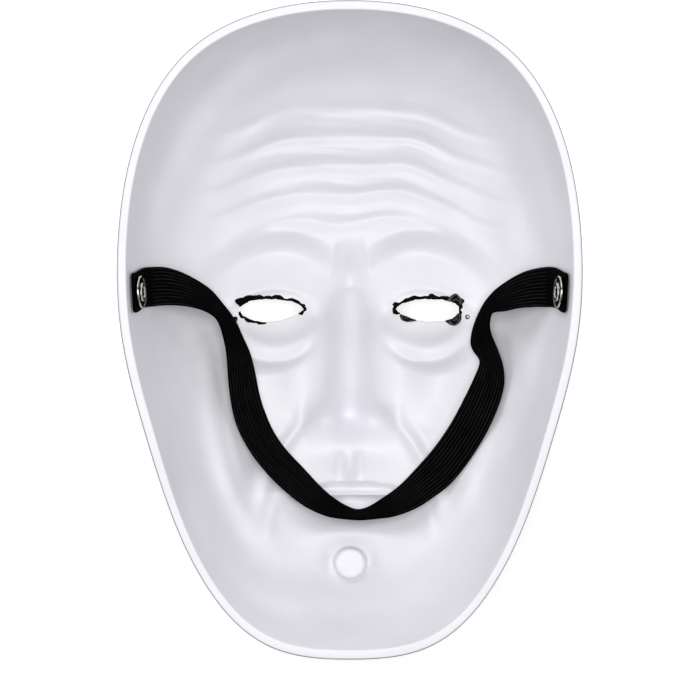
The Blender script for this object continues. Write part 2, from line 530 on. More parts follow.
def inside_height(x, y):
    """Height of the inside surface over the point x, y."""
    phi = np.arctan2(y, x)
    radius = hollow_radius(phi)
    part = np.hypot(x, y) / radius
    inward = radius * (1 - part)
    uneven = UNEVEN * undulation(x, y, phi, inward) * (1 - near_band(x, y)) * smooth(inward / UNEVEN_FADE)
    inward = inward + uneven
    turn = WALL_TURN_SIDE + (WALL_TURN_END - WALL_TURN_SIDE) * np.sin(phi) ** 2
    bowl = BOWL_DEPTH * (1 - np.exp(-inward / turn) * part**2) + BOWL_DOME * (1 - part**2)
    out = (relief(x, y) + uneven * UNEVEN_RISE) * (1 - gauss(inward / RIM_FADE))
    return rim_height(phi) * part**2 - bowl - out


def inside_normal(x, y, step=0.2):
    """Direction off the inside surface, into the hollow. A wide step evens out the small creases."""
    slope_x = (inside_height(x + step, y) - inside_height(x - step, y)) / (2 * step)
    slope_y = (inside_height(x, y + step) - inside_height(x, y - step)) / (2 * step)
    normal = np.stack([-slope_x, -slope_y, np.ones_like(slope_x)], axis=-1)
    return normal / np.linalg.norm(normal, axis=-1, keepdims=True)


def inside_point(x, y, lift=0.0, step=0.2):
    """Point over the inside surface, lifted off it by lift."""
    x, y = np.asarray(x, float), np.asarray(y, float)
    point = np.stack([x, y, inside_height(x, y)], axis=-1)
    return point + inside_normal(x, y, step) * np.asarray(lift, float)[..., None]


def mask_place():
    """Where the mask's own frame lies in the world, from the tilt and the rim's place in the solid model."""
    phi = np.linspace(-math.pi, math.pi, RIM_SAMPLES)
    radius, height = rim_radius(phi), rim_height(phi)
    loops = [(radius - LIP_ROUND, height), (radius, height - LIP_ROUND), (radius, height - LIP_THICKNESS)]
    cosine, sine = math.cos(REST_TILT), math.sin(REST_TILT)
    forward = np.concatenate([r * np.sin(phi) * cosine + z * sine for r, z in loops])
    up = np.concatenate([-r * np.sin(phi) * sine + z * cosine for r, z in loops])
    low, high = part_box("mask_shell")
    shift = Vector((
        (low.x + high.x) / 2,
        (low.y + high.y) / 2 - MM * (forward.min() + forward.max()) / 2,
        high.z - MM * up.max(),
    ))
    return Matrix.Translation(shift) @ Matrix.Rotation(-REST_TILT, 4, "X") @ Matrix.Scale(MM, 4)


PLACE = mask_place()


def wall_x(side, y, height):
    """Where the wall on one side, -1 or 1, has the given height at the given y."""
    inner, outer = WALL_SEARCH
    for _ in range(HALVINGS):
        x = (outer + inner) / 2
        if inside_height(np.array(x), np.array(y)) > height:
            outer = x
        else:
            inner = x
    return side * (outer + inner) / 2


def rivet_axes(side):
    """Foot of a rivet's axis on the wall, and three directions, the last of them off the wall."""
    x = wall_x(side, RIVET_Y, -RIVET_DEPTH)
    foot = inside_point(x, RIVET_Y)
    out = inside_normal(np.array(x), np.array(float(RIVET_Y)))
    across = np.cross([0.0, 1.0, 0.0], out)
    across /= np.linalg.norm(across)
    return foot, across, np.cross(out, across), out


def off_axis(points, side):
    """Distance of points from a rivet's axis."""
    foot, across, along, _ = rivet_axes(side)
    return np.hypot((points - foot) @ across, (points - foot) @ along)


def spline(points, count, closed=True):
    """Points evenly spread over a smooth curve through the given ones."""
    points = np.asarray(points, float)
    if closed:
        points = np.concatenate([points[-1:], points, points[:2]])
    else:
        points = np.concatenate([2 * points[:1] - points[1:2], points, 2 * points[-1:] - points[-2:-1]])
    steps = np.linalg.norm(np.diff(points, axis=0), axis=1)
    knots = np.concatenate([[0], np.cumsum(np.maximum(steps, TINY))])
    slopes = (points[2:] - points[:-2]) / (knots[2:] - knots[:-2])[:, None]
    knots, points = knots[1:-1], points[1:-1]
    at = np.linspace(knots[0], knots[-1], count + 1 if closed else count)
    if closed:
        at = at[:-1]
    k = np.clip(np.searchsorted(knots, at, side="right") - 1, 0, len(knots) - 2)
    span = knots[k + 1] - knots[k]
    t = ((at - knots[k]) / span)[:, None]
    span = span[:, None]
    return (
        (2 * t**3 - 3 * t**2 + 1) * points[k] + (t**3 - 2 * t**2 + t) * span * slopes[k]
        + (3 * t**2 - 2 * t**3) * points[k + 1] + (t**3 - t**2) * span * slopes[k + 1]
    )


def whole_turn(count, start=0.0):
    """Directions evenly spread over one turn."""
    return np.linspace(start, start + 2 * math.pi, count, endpoint=False)


def towards(turn):
    """Unit steps over the plan in the given directions."""
    return np.stack([np.cos(turn), np.sin(turn)], axis=-1)


def ring_at(turn, radius, height):
    """Points at the given radius and height in each direction."""
    return np.column_stack([towards(turn) * np.reshape(radius, (-1, 1)), np.broadcast_to(height, len(turn))])


def round_wave(turn, seed, rows):
    """Uneven wave along a closed line, about -1 to 1, from rows of how many waves go round and their size."""
    rng = np.random.default_rng(seed)
    return sum(size * np.sin(n * turn + rng.uniform(0, 2 * math.pi)) for n, size in rows)


def slit_outline(side, settings, count=SLIT_POINTS):
    """Cut edge of one eye slit in plan, counter-clockwise, and each point's direction from its middle."""
    half = np.array([settings.slit_length, settings.slit_height]) / MM / 2
    shape = spline(np.array(SLIT_SHAPE) * half, count)
    turn = np.arctan2(shape[:, 1] / half[1], shape[:, 0] / half[0])
    ragged = round_wave(turn, SLIT_SEED + side, RAGGED_WAVES) * settings.raggedness / MM
    reach = 1 + ragged / np.linalg.norm(shape, axis=1)
    shape = shape * reach[:, None] * [side, 1]
    shape += [side * settings.slit_spacing / MM / 2, SLIT_Y]
    area = np.sum(shape[:, 0] * np.roll(shape[:, 1], -1) - np.roll(shape[:, 0], -1) * shape[:, 1])
    return (shape[::-1], turn[::-1]) if area < 0 else (shape, turn)


def pin_middle(side):
    return np.array(PINS[side]) * [side, 1]


def pin_outline(side, count=PIN_POINTS):
    """Edge of a pin hole in plan, a little out of round."""
    turn = whole_turn(count)
    radius = PIN_RADIUS * (1 + PIN_UNEVEN * np.sin(3 * turn + side))
    return pin_middle(side) + towards(turn) * radius[:, None]


def outward(outline):
    """Unit directions out of a closed counter-clockwise outline, at each of its points."""
    ahead = np.roll(outline, -1, axis=0) - np.roll(outline, 1, axis=0)
    out = np.stack([ahead[:, 1], -ahead[:, 0]], axis=1)
    return out / np.linalg.norm(out, axis=1, keepdims=True)


def within(points, outline):
    """Which points lie inside a closed outline."""
    inside = np.zeros(len(points), bool)
    for a, b in zip(outline, np.roll(outline, -1, axis=0)):
        crosses = (a[1] > points[:, 1]) != (b[1] > points[:, 1])
        rise = b[1] - a[1] if b[1] != a[1] else TINY
        inside ^= crosses & (points[:, 0] < (b[0] - a[0]) * (points[:, 1] - a[1]) / rise + a[0])
    return inside


def far_from(points, outline, gap):
    """Which points are more than the gap from each point of an outline."""
    return np.array([np.min(np.sum((outline - p) ** 2, axis=1)) > gap * gap for p in points])


def in_patch(points, gap=0.0):
    """Which points lie in the middle of the face, at least the gap inside its border."""
    phi = np.arctan2(points[:, 1], points[:, 0])
    return np.hypot(points[:, 0], points[:, 1]) < hollow_radius(phi) * PATCH_SHARE - gap


def patch_grid(pitch):
    """Points in a pattern of even triangles over the middle of the face."""
    rows = np.arange(-PATCH_HALF_LENGTH, PATCH_HALF_LENGTH, pitch * math.sqrt(3) / 2)
    columns = np.arange(-PATCH_HALF_WIDTH, PATCH_HALF_WIDTH, pitch)
    grid = np.array([(x + (j % 2) * pitch / 2, y) for j, y in enumerate(rows) for x in columns])
    return grid[in_patch(grid, BORDER_GAP * pitch)]


def halo_of(hole, others):
    """Rings of points round a hole, where they keep clear of the other holes."""
    rings = [(hole + outward(hole) * out)[::every] for out, every in HALO]
    return [
        ring[np.all([far_from(ring, other, HOLE_GAP) & ~within(ring, other) for other in others], axis=0)]
        for ring in rings]


def clear_of(hole, grid, pitch):
    """The points of the grid that are neither in a hole nor among the rings round it."""
    near = np.all(np.abs(grid - hole.mean(axis=0)) < HOLE_REACH, axis=1)
    keep = np.ones(len(grid), bool)
    keep[near] = far_from(grid[near], hole, HALO[-1][0] + pitch * HALO_GAP) & ~within(grid[near], hole)
    return grid[keep]


def plan_of_face(settings):
    """Points and triangles of the middle of the face in plan, without the holes, and its border's points."""
    pitch = settings.pitch / MM
    turn = whole_turn(RING_POINTS, -math.pi)
    border = towards(turn) * (hollow_radius(turn) * PATCH_SHARE)[:, None]
    holes = [slit_outline(side, settings)[0] for side in HANDS] + [pin_outline(side) for side in HANDS]
    edges, count = [], 0
    for outline in [border] + holes:
        ring = count + np.arange(len(outline))
        edges += np.stack([ring, np.roll(ring, -1)], axis=1).tolist()
        count += len(outline)
    halos, grid = [], patch_grid(pitch)
    for hole in holes:
        halos += halo_of(hole, [other for other in holes if other is not hole])
        grid = clear_of(hole, grid, pitch)
    points = np.concatenate([border, *holes, *halos, grid])
    made, _, faces, came_from, _, _ = delaunay_2d_cdt([Vector(p) for p in points], edges, [], 0, SAME_POINT)
    made = np.array([p[:] for p in made])
    faces = np.array([f for f in faces if len(f) == 3])
    middle = made[faces].mean(axis=1)
    keep = in_patch(middle)
    for hole in holes:
        keep &= ~within(middle, hole)
    faces = faces[keep]
    a, b, c = (made[faces[:, k]] for k in range(3))
    area = (b[:, 0] - a[:, 0]) * (c[:, 1] - a[:, 1]) - (b[:, 1] - a[:, 1]) * (c[:, 0] - a[:, 0])
    faces[area < 0] = faces[area < 0][:, ::-1]
    new_place = {old: new for new, olds in enumerate(came_from) for old in olds}
    return made, faces, np.array([new_place[k] for k in range(RING_POINTS)])


def open_edges(faces, count):
    """Directed edges that only one face has. The faces are in groups with as many corners each."""
    pairs = np.concatenate([
        np.stack([group[:, k], group[:, (k + 1) % group.shape[1]]], axis=1)
        for group in faces for k in range(group.shape[1])])
    there, back = pairs[:, 0] * count + pairs[:, 1], pairs[:, 1] * count + pairs[:, 0]
    return pairs[~np.isin(there, back)]


def closed_skin(front, back, faces, loose=None):
    """One body from a sheet's front and back, which share their faces.

    Its open edges are joined, apart from those whose two points are marked as loose.
    """
    count = len(front)
    edges = open_edges(faces, count)
    if loose is not None:
        edges = edges[~(loose[edges[:, 0]] & loose[edges[:, 1]])]
    made = []
    for group in faces:
        made += group.tolist() + (group[:, ::-1] + count).tolist()
    made += np.stack([edges[:, 1], edges[:, 0], edges[:, 0] + count, edges[:, 1] + count], axis=1).tolist()
    return np.concatenate([front, back]), made


def add_piece(name, points, faces, finish, stands_for=(), marks=None, crease=PLAIN_CREASE):
    """Mesh object from points in the mask's frame. marks are named values, one for each point."""
    mesh = bpy.data.meshes.new(name)
    world = points @ np.array(PLACE.to_3x3()).T + np.array(PLACE.translation)
    mesh.from_pydata(world.tolist(), [], faces)
    mesh.validate()
    mesh.update()
    for mark, values in {"place": points, **(marks or {})}.items():
        values = np.asarray(values, np.float32)
        kind = "FLOAT_VECTOR" if values.ndim == 2 else "FLOAT"
        attribute = mesh.attributes.new(mark, kind, "POINT")
        attribute.data.foreach_set("vector" if values.ndim == 2 else "value", values.ravel())
    mesh.shade_smooth()
    mesh.set_sharp_from_angle(angle=math.radians(crease))
    mesh.materials.append(finish)
    piece = bpy.data.objects.new(name, mesh)
    bpy.context.scene.collection.objects.link(piece)
    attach(piece, "root")
    if stands_for:
        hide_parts(*stands_for)
    return piece


def both_ways(operation):
    """The operator that adds a Math node for value + 1, and its reflected form for 1 + value."""
    def plain(value, other):
        return value.maths(operation, value, other)

    def reflected(value, other):
        return value.maths(operation, other, value)
    return plain, reflected


class Value:
    """A value in a material's nodes. Sums written with it add Math nodes."""

    def __init__(self, finish, socket):
        self.finish = finish
        self.socket = socket

    def maths(self, operation, *values):
        return self.finish.node("ShaderNodeMath", {"operation": operation}, dict(enumerate(values)))

    __add__, __radd__ = both_ways("ADD")
    __sub__, __rsub__ = both_ways("SUBTRACT")
    __mul__, __rmul__ = both_ways("MULTIPLY")
    __truediv__, __rtruediv__ = both_ways("DIVIDE")
    __pow__, __rpow__ = both_ways("POWER")

    def __abs__(self):
        return self.maths("ABSOLUTE", self)

    def most(self, other):
        return self.maths("MAXIMUM", self, other)

    def sine(self):
        return self.maths("SINE", self)

    def root(self):
        return self.maths("SQRT", self)


class Finish:
    """One material, built from nodes."""

    def __init__(self, name):
        self.material = bpy.data.materials.new(name)
        self.material.use_nodes = True
        self.tree = self.material.node_tree
        self.tree.nodes.clear()

    def node(self, kind, settings=None, inputs=None, output=0):
        """Add a node of one kind, with its settings and the values or links of its sockets."""
        made = self.tree.nodes.new(kind)
        for key, value in (settings or {}).items():
            setattr(made, key, value)
        for key, value in (inputs or {}).items():
            if isinstance(value, Value):
                self.tree.links.new(value.socket, made.inputs[key])
            else:
                made.inputs[key].default_value = value
        return Value(self, made.outputs[output]) if made.outputs else None

    def mark(self, name, output="Fac"):
        return self.node("ShaderNodeAttribute", {"attribute_name": name}, output=output)

    def parts(self, vector):
        made = self.node("ShaderNodeSeparateXYZ", None, {0: vector})
        return [Value(self, socket) for socket in made.socket.node.outputs]

    def joined(self, x, y, z):
        return self.node("ShaderNodeCombineXYZ", None, {0: x, 1: y, 2: z})

    def noise(self, where, scale, detail=2.0, roughness=0.5):
        return self.node("ShaderNodeTexNoise", None, {
            "Vector": where, "Scale": scale, "Detail": detail, "Roughness": roughness})

    def fade(self, value, start, end, low=0.0, high=1.0):
        """low at start, high at end, smooth between them."""
        return self.node("ShaderNodeMapRange", {"interpolation_type": "SMOOTHSTEP"}, {
            "Value": value, "From Min": start, "From Max": end, "To Min": low, "To Max": high})

    def blend(self, amount, first, second):
        """Colour first where amount is 0, second where it is 1."""
        def full(c):
            return c if isinstance(c, Value) else (*c, 1.0)
        inputs = {0: amount, 6: full(first), 7: full(second)}
        return self.node("ShaderNodeMix", {"data_type": "RGBA"}, inputs, output=2)

    def bump(self, height, distance):
        return self.node("ShaderNodeBump", None, {"Height": height, "Distance": distance, "Strength": 1.0})

    def surface(self, **inputs):
        """Finish the material with a shader whose sockets are named with _ for a space."""
        shader = self.node("ShaderNodeBsdfPrincipled", None, {
            key.replace("_", " "): (*value, 1.0) if isinstance(value, tuple) else value
            for key, value in inputs.items()})
        self.node("ShaderNodeOutputMaterial", None, {"Surface": shader})
        return self.material


def shade(base, factor):
    """A darker or lighter shade of a colour."""
    return tuple(c * factor for c in base)


def make_up(f, settings, place, broad):
    """Painted front: a white ground, red cheeks, nose and lips, and black over the eyes and brows."""
    x, y, _ = f.parts(place)
    x = abs(x)
    wobble = (f.noise(place, 0.35) - 0.5) * PAINT_WOBBLE

    def disc(middle_x, middle_y, reach_x, reach_y):
        edge = 0.5 / min(reach_x, reach_y)
        away = (((x - middle_x) / reach_x) ** 2.0 + ((y - middle_y) / reach_y) ** 2.0).root()
        return f.fade(away + wobble * (1 / reach_x), 1 + edge, 1 - edge)

    cheek, nose_paint, lips_paint = (disc(*patch) for patch in RED_PATCHES.values())
    red = cheek.most(nose_paint).most(lips_paint)
    eye_x = settings.slit_spacing / MM / 2
    surround = disc(eye_x, SLIT_Y, *EYE_PATCH_REACH)
    diamond = abs(x - eye_x) / DIAMOND_REACH[0] + abs(y - SLIT_Y) / DIAMOND_REACH[1]
    diamond = f.fade(diamond + wobble * 0.05, 1.06, 0.94)
    arch = abs(y - (BROW_Y - (x - BROW_X) ** 2.0 * BROW_BEND) + wobble * 0.4)
    brow = f.fade(arch, BROW_THIN + 0.6, BROW_THIN) * f.fade(abs(x - BROW_X), BROW_HALF + 1.5, BROW_HALF)
    black = surround.most(diamond).most(brow)
    ground = f.blend(f.fade(broad, 0.35, 0.7), settings.gloss_white, shade(settings.gloss_white, 0.97))
    return f.blend(black, f.blend(red * 0.97, ground, settings.red), settings.black)


def moulded_plastic(settings):
    """Bare white plastic inside, with a few specks and a rubbed outer edge; painted make-up on the front."""
    f = Finish("moulded_plastic")
    place = f.mark("place", "Vector")
    outside = f.fade(f.mark("outside"), 0.5, 0.7)
    broad = f.noise(place, 0.035)
    fine = f.noise(place, 0.9, detail=3.0)
    grain = f.noise(place, 5.0)
    specks = f.fade(f.noise(place, 1.6, detail=1.0), 0.80, 0.84)
    inside = f.blend(f.fade(broad, 0.35, 0.68), settings.plastic, shade(settings.plastic, 0.965))
    inside = f.blend(specks * 0.25, inside, SPECK_GREY)
    inside = f.blend(f.fade(f.mark("edge"), 0.1, 0.9) * 0.9, inside, RUBBED_GREY)
    base = f.blend(outside, inside, make_up(f, settings, place, broad))
    rough = f.fade(fine, 0.3, 0.7, *PLASTIC_ROUGHNESS) + outside * -0.08
    normal = f.bump(fine * 0.6 + grain * 0.4, ORANGE_PEEL)
    return f.surface(Base_Color=base, Roughness=rough, Normal=normal, IOR=PLASTIC_IOR)


def bare_boss(settings):
    """Same plastic as the inside of the shell, a little darker."""
    f = Finish("boss_plastic")
    fine = f.noise(f.mark("place", "Vector"), 0.9, detail=3.0)
    base = f.blend(f.fade(fine, 0.3, 0.7), shade(settings.plastic, 0.93), shade(settings.plastic, 0.9))
    rough = f.fade(fine, 0.3, 0.7, *PLASTIC_ROUGHNESS)
    return f.surface(Base_Color=base, Roughness=rough, Normal=f.bump(fine, ORANGE_PEEL), IOR=PLASTIC_IOR)


def cut_paint(settings):
    """Thick black paint, with worn grey streaks that follow the edges of the flakes."""
    f = Finish("cut_paint")
    place = f.mark("place", "Vector")
    dry = f.noise(place, 1.4, detail=3.0)
    crumb = f.noise(place, 3.5, detail=3.0, roughness=0.6)
    base = f.blend(f.fade(dry, 0.55, 0.75) * 0.3, settings.paint, DRY_PAINT)
    heart = f.mark("heart")
    streaks = (heart * 9.0 + f.noise(place, 0.5) * 12.0).sine() * 0.5 + 0.5
    worn = f.fade(streaks + (crumb - 0.5) * 0.7, 0.45, 0.9) * f.fade(heart, 0.06, 0.22) * f.mark("grey")
    base = f.blend(worn, base, WORN_PAINT)
    rough = f.fade(dry, 0.4, 0.65, low=0.35, high=0.6)
    normal = f.bump(crumb * 0.6 + streaks * 0.4, PAINT_CRUMBS)
    return f.surface(Base_Color=base, Roughness=rough, Normal=normal, Specular_IOR_Level=0.04)


def woven_elastic(settings):
    """Near-black ribbed elastic: the crests of the ribs catch a little light on their fine cross threads."""
    f = Finish("woven_elastic")
    along, across, depth = f.parts(f.mark("weave", "Vector"))
    crest = f.fade(f.mark("groove"), RIB_CREST, 0.0)
    turn = across * (2 * math.pi * settings.ribs)
    threads = (along * (2 * math.pi / THREAD_PITCH) + turn.sine() * 1.1).sine() * 0.5 + 0.5
    slubs = f.noise(f.joined(along * 0.12, across * settings.ribs * 1.2, depth * 5.0), 1.0, detail=3.0)
    fluff = f.noise(f.mark("place", "Vector"), 2.2, detail=3.0, roughness=0.65)
    lit = crest * f.fade(slubs, 0.3, 0.62, low=0.3) * (threads * 0.25 + 0.75)
    base = f.blend(lit, shade(settings.thread, THREAD_SHADOW), shade(settings.thread, THREAD_SHINE))
    rough = f.fade(fluff, 0.3, 0.7, low=0.62, high=0.82)
    normal = f.bump(threads * 0.3 + slubs * 0.15 + fluff * 0.25, THREAD_RELIEF)
    return f.surface(Base_Color=base, Roughness=rough, Normal=normal, Specular_IOR_Level=0.015)


def nickel_plate(settings):
    """Softly polished nickel with fine scratches, dark where it is sunk and dirt stays in it."""
    f = Finish("nickel_plate")
    place = f.mark("place", "Vector")
    dull = f.fade(f.noise(place, 0.7, detail=3.0, roughness=0.6), 0.5, 0.72)
    x, y, z = f.parts(place)
    scratches = f.fade(f.noise(f.joined(x * 0.6, y * 6.0, z * 2.0), 2.0), 0.56, 0.62)
    base = f.blend(dull * 0.7, settings.nickel, settings.tarnish)
    dirty = f.fade(f.mark("sunk") + (dull - 0.5) * 0.3, 0.25, 0.75)
    base = f.blend(dirty * 0.93, base, DIRT)
    rough = f.fade(dull, 0.0, 1.0, low=0.07, high=0.16) + scratches * 0.04
    normal = f.bump(f.noise(place, 1.3) + scratches * 0.1, SCRATCH_DEPTH)
    return f.surface(Base_Color=base, Metallic=1.0, Roughness=rough, Normal=normal)


def floor_paper(settings):
    """Pale paper that gives off a little light, so that it shows white round the mask."""
    f = Finish("floor_paper")
    tone = f.noise(f.node("ShaderNodeNewGeometry", output="Position"), 3.0)
    base = f.blend(f.fade(tone, 0.3, 0.7), settings.floor, shade(settings.floor, 0.985))
    return f.surface(
        Base_Color=base, Roughness=0.9, Emission_Color=FLOOR_GLOW, Emission_Strength=settings.glow)


def rings_from(first, rings, count):
    """Numbers of the points of rings that follow each other, from the point numbered first."""
    return [first + k * count + np.arange(count) for k in range(rings)]


def left_by_rivets(quads, points):
    """The quads that are left when the rivets' holes are made."""
    middle = points[quads].mean(axis=1)
    gone = np.zeros(len(quads), bool)
    for side in HANDS:
        gone |= (off_axis(middle, side) < BARREL_RADIUS + PLAY) & (middle[:, 0] * side > BEYOND_FACE)
    return quads[~gone]


def shell_body(settings):
    """Points and faces of the shell, and marks for its painted side and the rubbed edge of its lip."""
    plan, faces, border = plan_of_face(settings)
    turn = whole_turn(RING_POINTS, -math.pi)
    hollow, rim, level = hollow_radius(turn), rim_radius(turn), rim_height(turn)
    u = 1 - np.arange(1, WALL_RINGS + 1) / WALL_RINGS
    shares = 1 - (1 - PATCH_SHARE) * u**WALL_CROWDING
    shares[-1] = 1 - RIM_GAP
    flat = np.concatenate([plan] + [towards(turn) * (hollow * share)[:, None] for share in shares])
    front = inside_point(flat[:, 0], flat[:, 1])
    back = inside_point(flat[:, 0], flat[:, 1], -settings.wall / MM, step=BACK_STEP)
    rings = [border] + rings_from(len(plan), WALL_RINGS, RING_POINTS)
    # The outermost points of the back lie under the lip
    for ring, share in zip(rings[1:], shares):
        under = np.clip(1 - hollow * (1 - share) / UNDER_LIP, 0, None)
        height = level - LIP_THICKNESS - UNDER_LIP_DROP * (1 - under)
        lip = ring_at(turn, hollow + UNDER_LIP_OUT + UNDER_LIP_SPREAD * under, height)
        back[ring] = np.where((under > 0)[:, None], lip, back[ring])
    quads = np.concatenate([
        np.stack([a, b, np.roll(b, -1), np.roll(a, -1)], axis=1) for a, b in zip(rings, rings[1:])])
    loose = np.zeros(len(flat), bool)
    loose[rings[-1]] = True
    points, made = closed_skin(front, back, [faces, left_by_rivets(quads, front)], loose)
    # The lip joins the last ring of the front to that of the back
    lines = {"hollow": hollow, "rim": rim}
    lip = [ring_at(turn, lines[line] + out, level + height) for line, out, height, _, _ in LIP_SECTION]
    loops = [rings[-1], *rings_from(len(points), len(lip), RING_POINTS), rings[-1] + len(flat)]
    for a, b in zip(loops, loops[1:]):
        made += np.stack([np.roll(a, -1), a, b, np.roll(b, -1)], axis=1).tolist()
    painted, rubbed = (np.repeat([row[k] for row in LIP_SECTION], RING_POINTS) for k in (3, 4))
    marks = {
        "outside": np.concatenate([np.repeat([0, 1], len(flat)), painted]),
        "edge": np.concatenate([np.zeros(2 * len(flat)), rubbed]),
    }
    return np.concatenate([points, *lip]), made, marks


def beside_cut(outline, out, lift):
    """Row of points along a cut edge, moved out from it over the inside surface and lifted off it."""
    flat = outline + outward(outline) * np.reshape(out, (-1, 1))
    return inside_point(flat[:, 0], flat[:, 1], lift)


def burr_body(side, settings, cut):
    """Ring of thick paint and torn plastic along the cut edge of one slit."""
    outline, turn = slit_outline(side, settings, 2 * SLIT_POINTS)
    degrees = np.degrees(turn) % 360
    reach, height = np.zeros(len(turn)), np.zeros(len(turn))
    for direction, spread, far, high in LUMPS[side]:
        lump = gauss(((degrees - direction + 180) % 360 - 180) / spread)
        reach = np.maximum(reach, far * lump)
        height = np.maximum(height, high * lump)
    uneven = 1 + BURR_UNEVEN * round_wave(turn, LUMP_SEED + side, LUMPY_WAVES)
    bare = 1 - smooth((reach - BARE_REACH) / BARE_FADE)
    reach = reach * np.clip(uneven, BURR_LEAST_REACH, None) * cut.reach
    height = height * np.clip(uneven, BURR_LEAST_HEIGHT, None) * cut.height
    wall, sunk = settings.wall / MM, bare * BARE_SUNK
    rows = []
    for share_out, more_out, wall_share, height_share, lift in BURR_SECTION:
        rise = wall_share * wall + height_share * height + lift
        rows.append(beside_cut(outline, share_out * reach + more_out + sunk, rise - sunk * BARE_DROP))
    return body_of_rows(rows)


def pin_burr_body(side, cut):
    """Ring of paint that narrows a pin hole, thicker on one side. The left hole is all but closed."""
    outline = pin_outline(side, 2 * PIN_POINTS)
    from_middle = outline - pin_middle(side)
    turn = np.arctan2(from_middle[:, 1], from_middle[:, 0])
    uneven = PIN_LUMPY * round_wave(turn, PIN_SEED + side, LUMPY_WAVES)
    reach = (PIN_REACH + PIN_ONE_SIDED * np.cos(turn - math.pi) + uneven) * PIN_PAINT[side]
    closing = PIN_CLOSING[side]
    section = [
        (0, 0.1, -1.15), (0, -0.08, -1.0), (0, -closing, -0.85), (0, -closing, -0.3), (0, -0.1, 0.05),
        (0, 0.05, 0.2 * cut.height), (0.5, 0, 0.26 * cut.height), (1, 0, 0.02), (0.9, 0, -0.3),
    ]
    return body_of_rows([
        beside_cut(outline, share_out * reach + more_out, lift) for share_out, more_out, lift in section])


def flake_body(side, outline, thickness, settings, seed):
    """Domed flake lying on the inside surface, and how far each point is from its edge, from 0 to 1."""
    middle = np.array([side * settings.slit_spacing / MM / 2, SLIT_Y])
    edge = spline(np.array(outline) * [side, 1] + middle, FLAKE_POINTS)
    heart = edge.mean(axis=0)
    turn = whole_turn(FLAKE_POINTS)
    rows = []
    for part, lift in FLAKE_SECTION:
        ragged = 1 + FLAKE_RAGGED * round_wave(turn, seed, RAGGED_WAVES)
        flat = heart + (edge - heart) * part * ragged[:, None]
        uneven = 1 + FLAKE_UNEVEN * round_wave(turn + FLAKE_TWIST * part, seed + 1, RAGGED_WAVES) * part
        rows.append(inside_point(flat[:, 0], flat[:, 1], lift * thickness * uneven))
    heartwards = np.repeat([1 - part for part, _ in FLAKE_SECTION], len(edge))
    return *body_of_rows(rows, capped=True), np.concatenate([heartwards, [1, 1]])


def boss_body():
    """Moulded stub in the chin: fillet at its foot, straight side, rounded flat end."""
    turn = whole_turn(ROUND_POINTS)
    middle = np.array([BOSS_X, BOSS_Y])
    rows = []
    for wider, lift in BOSS_FOOT:
        flat = towards(turn) * (BOSS_RADIUS + wider) + middle
        rows.append(inside_point(flat[:, 0], flat[:, 1], lift))
    for wider, height in BOSS_HEAD:
        rows.append(ring_at(turn, BOSS_RADIUS + wider, BOSS_TOP + height) + [*middle, 0])
    return body_of_rows(rows, capped=True)


def turned_body(outline, side, dulled):
    """Closed outline of radius and height, turned about a rivet's axis, and marks for where it is sunk.

    It leans a little towards the band's loop, and is dulled on that side, where the band rubs on it.
    """
    foot, across, along, out = rivet_axes(side)
    turn = whole_turn(ROUND_POINTS)
    loopwards = -side * np.cos(turn)
    rows = [
        foot + np.outer(r * np.cos(turn), across) + np.outer(r * np.sin(turn), along)
        + np.outer(h - RIVET_LEAN * r * loopwards, out) for r, h, _ in outline]
    dull = dulled * smooth((loopwards - DULL_START) / DULL_FADE)
    return *body_of_rows(rows), {"sunk": np.concatenate([np.maximum(sunk, dull) for _, _, sunk in outline])}


def body_of_rows(rows, capped=False):
    """Closed body from rows of points that each run once round it.

    The last row joins the first, or else each of the two has a cap.
    """
    count = len(rows[0])
    rings = rings_from(0, len(rows), count)
    faces = []
    for a, b in zip(rings, rings[1:] if capped else rings[1:] + rings[:1]):
        faces += np.stack([a, np.roll(a, -1), np.roll(b, -1), b], axis=1).tolist()
    if capped:
        first, last = rings[0], rings[-1]
        ends = ((np.roll(first, -1), first), (last, np.roll(last, -1)))
        for k, (a, b) in enumerate(ends):
            faces += np.stack([a, b, np.full(count, len(rows) * count + k)], axis=1).tolist()
        rows = rows + [rows[k].mean(axis=0, keepdims=True) for k in (0, -1)]
    points = np.concatenate(rows)
    return points, turned_outwards(points, faces)


def turned_outwards(points, faces):
    """The same faces, reversed if they enclose a negative volume."""
    quads = np.array([f if len(f) == 4 else [*f, f[2]] for f in faces])
    a, b, c, d = (points[quads[:, k]] for k in range(4))
    volume = np.einsum("ij,ij->", a, np.cross(b, c)) + np.einsum("ij,ij->", a, np.cross(c, d))
    return [f[::-1] for f in faces] if volume < 0 else faces


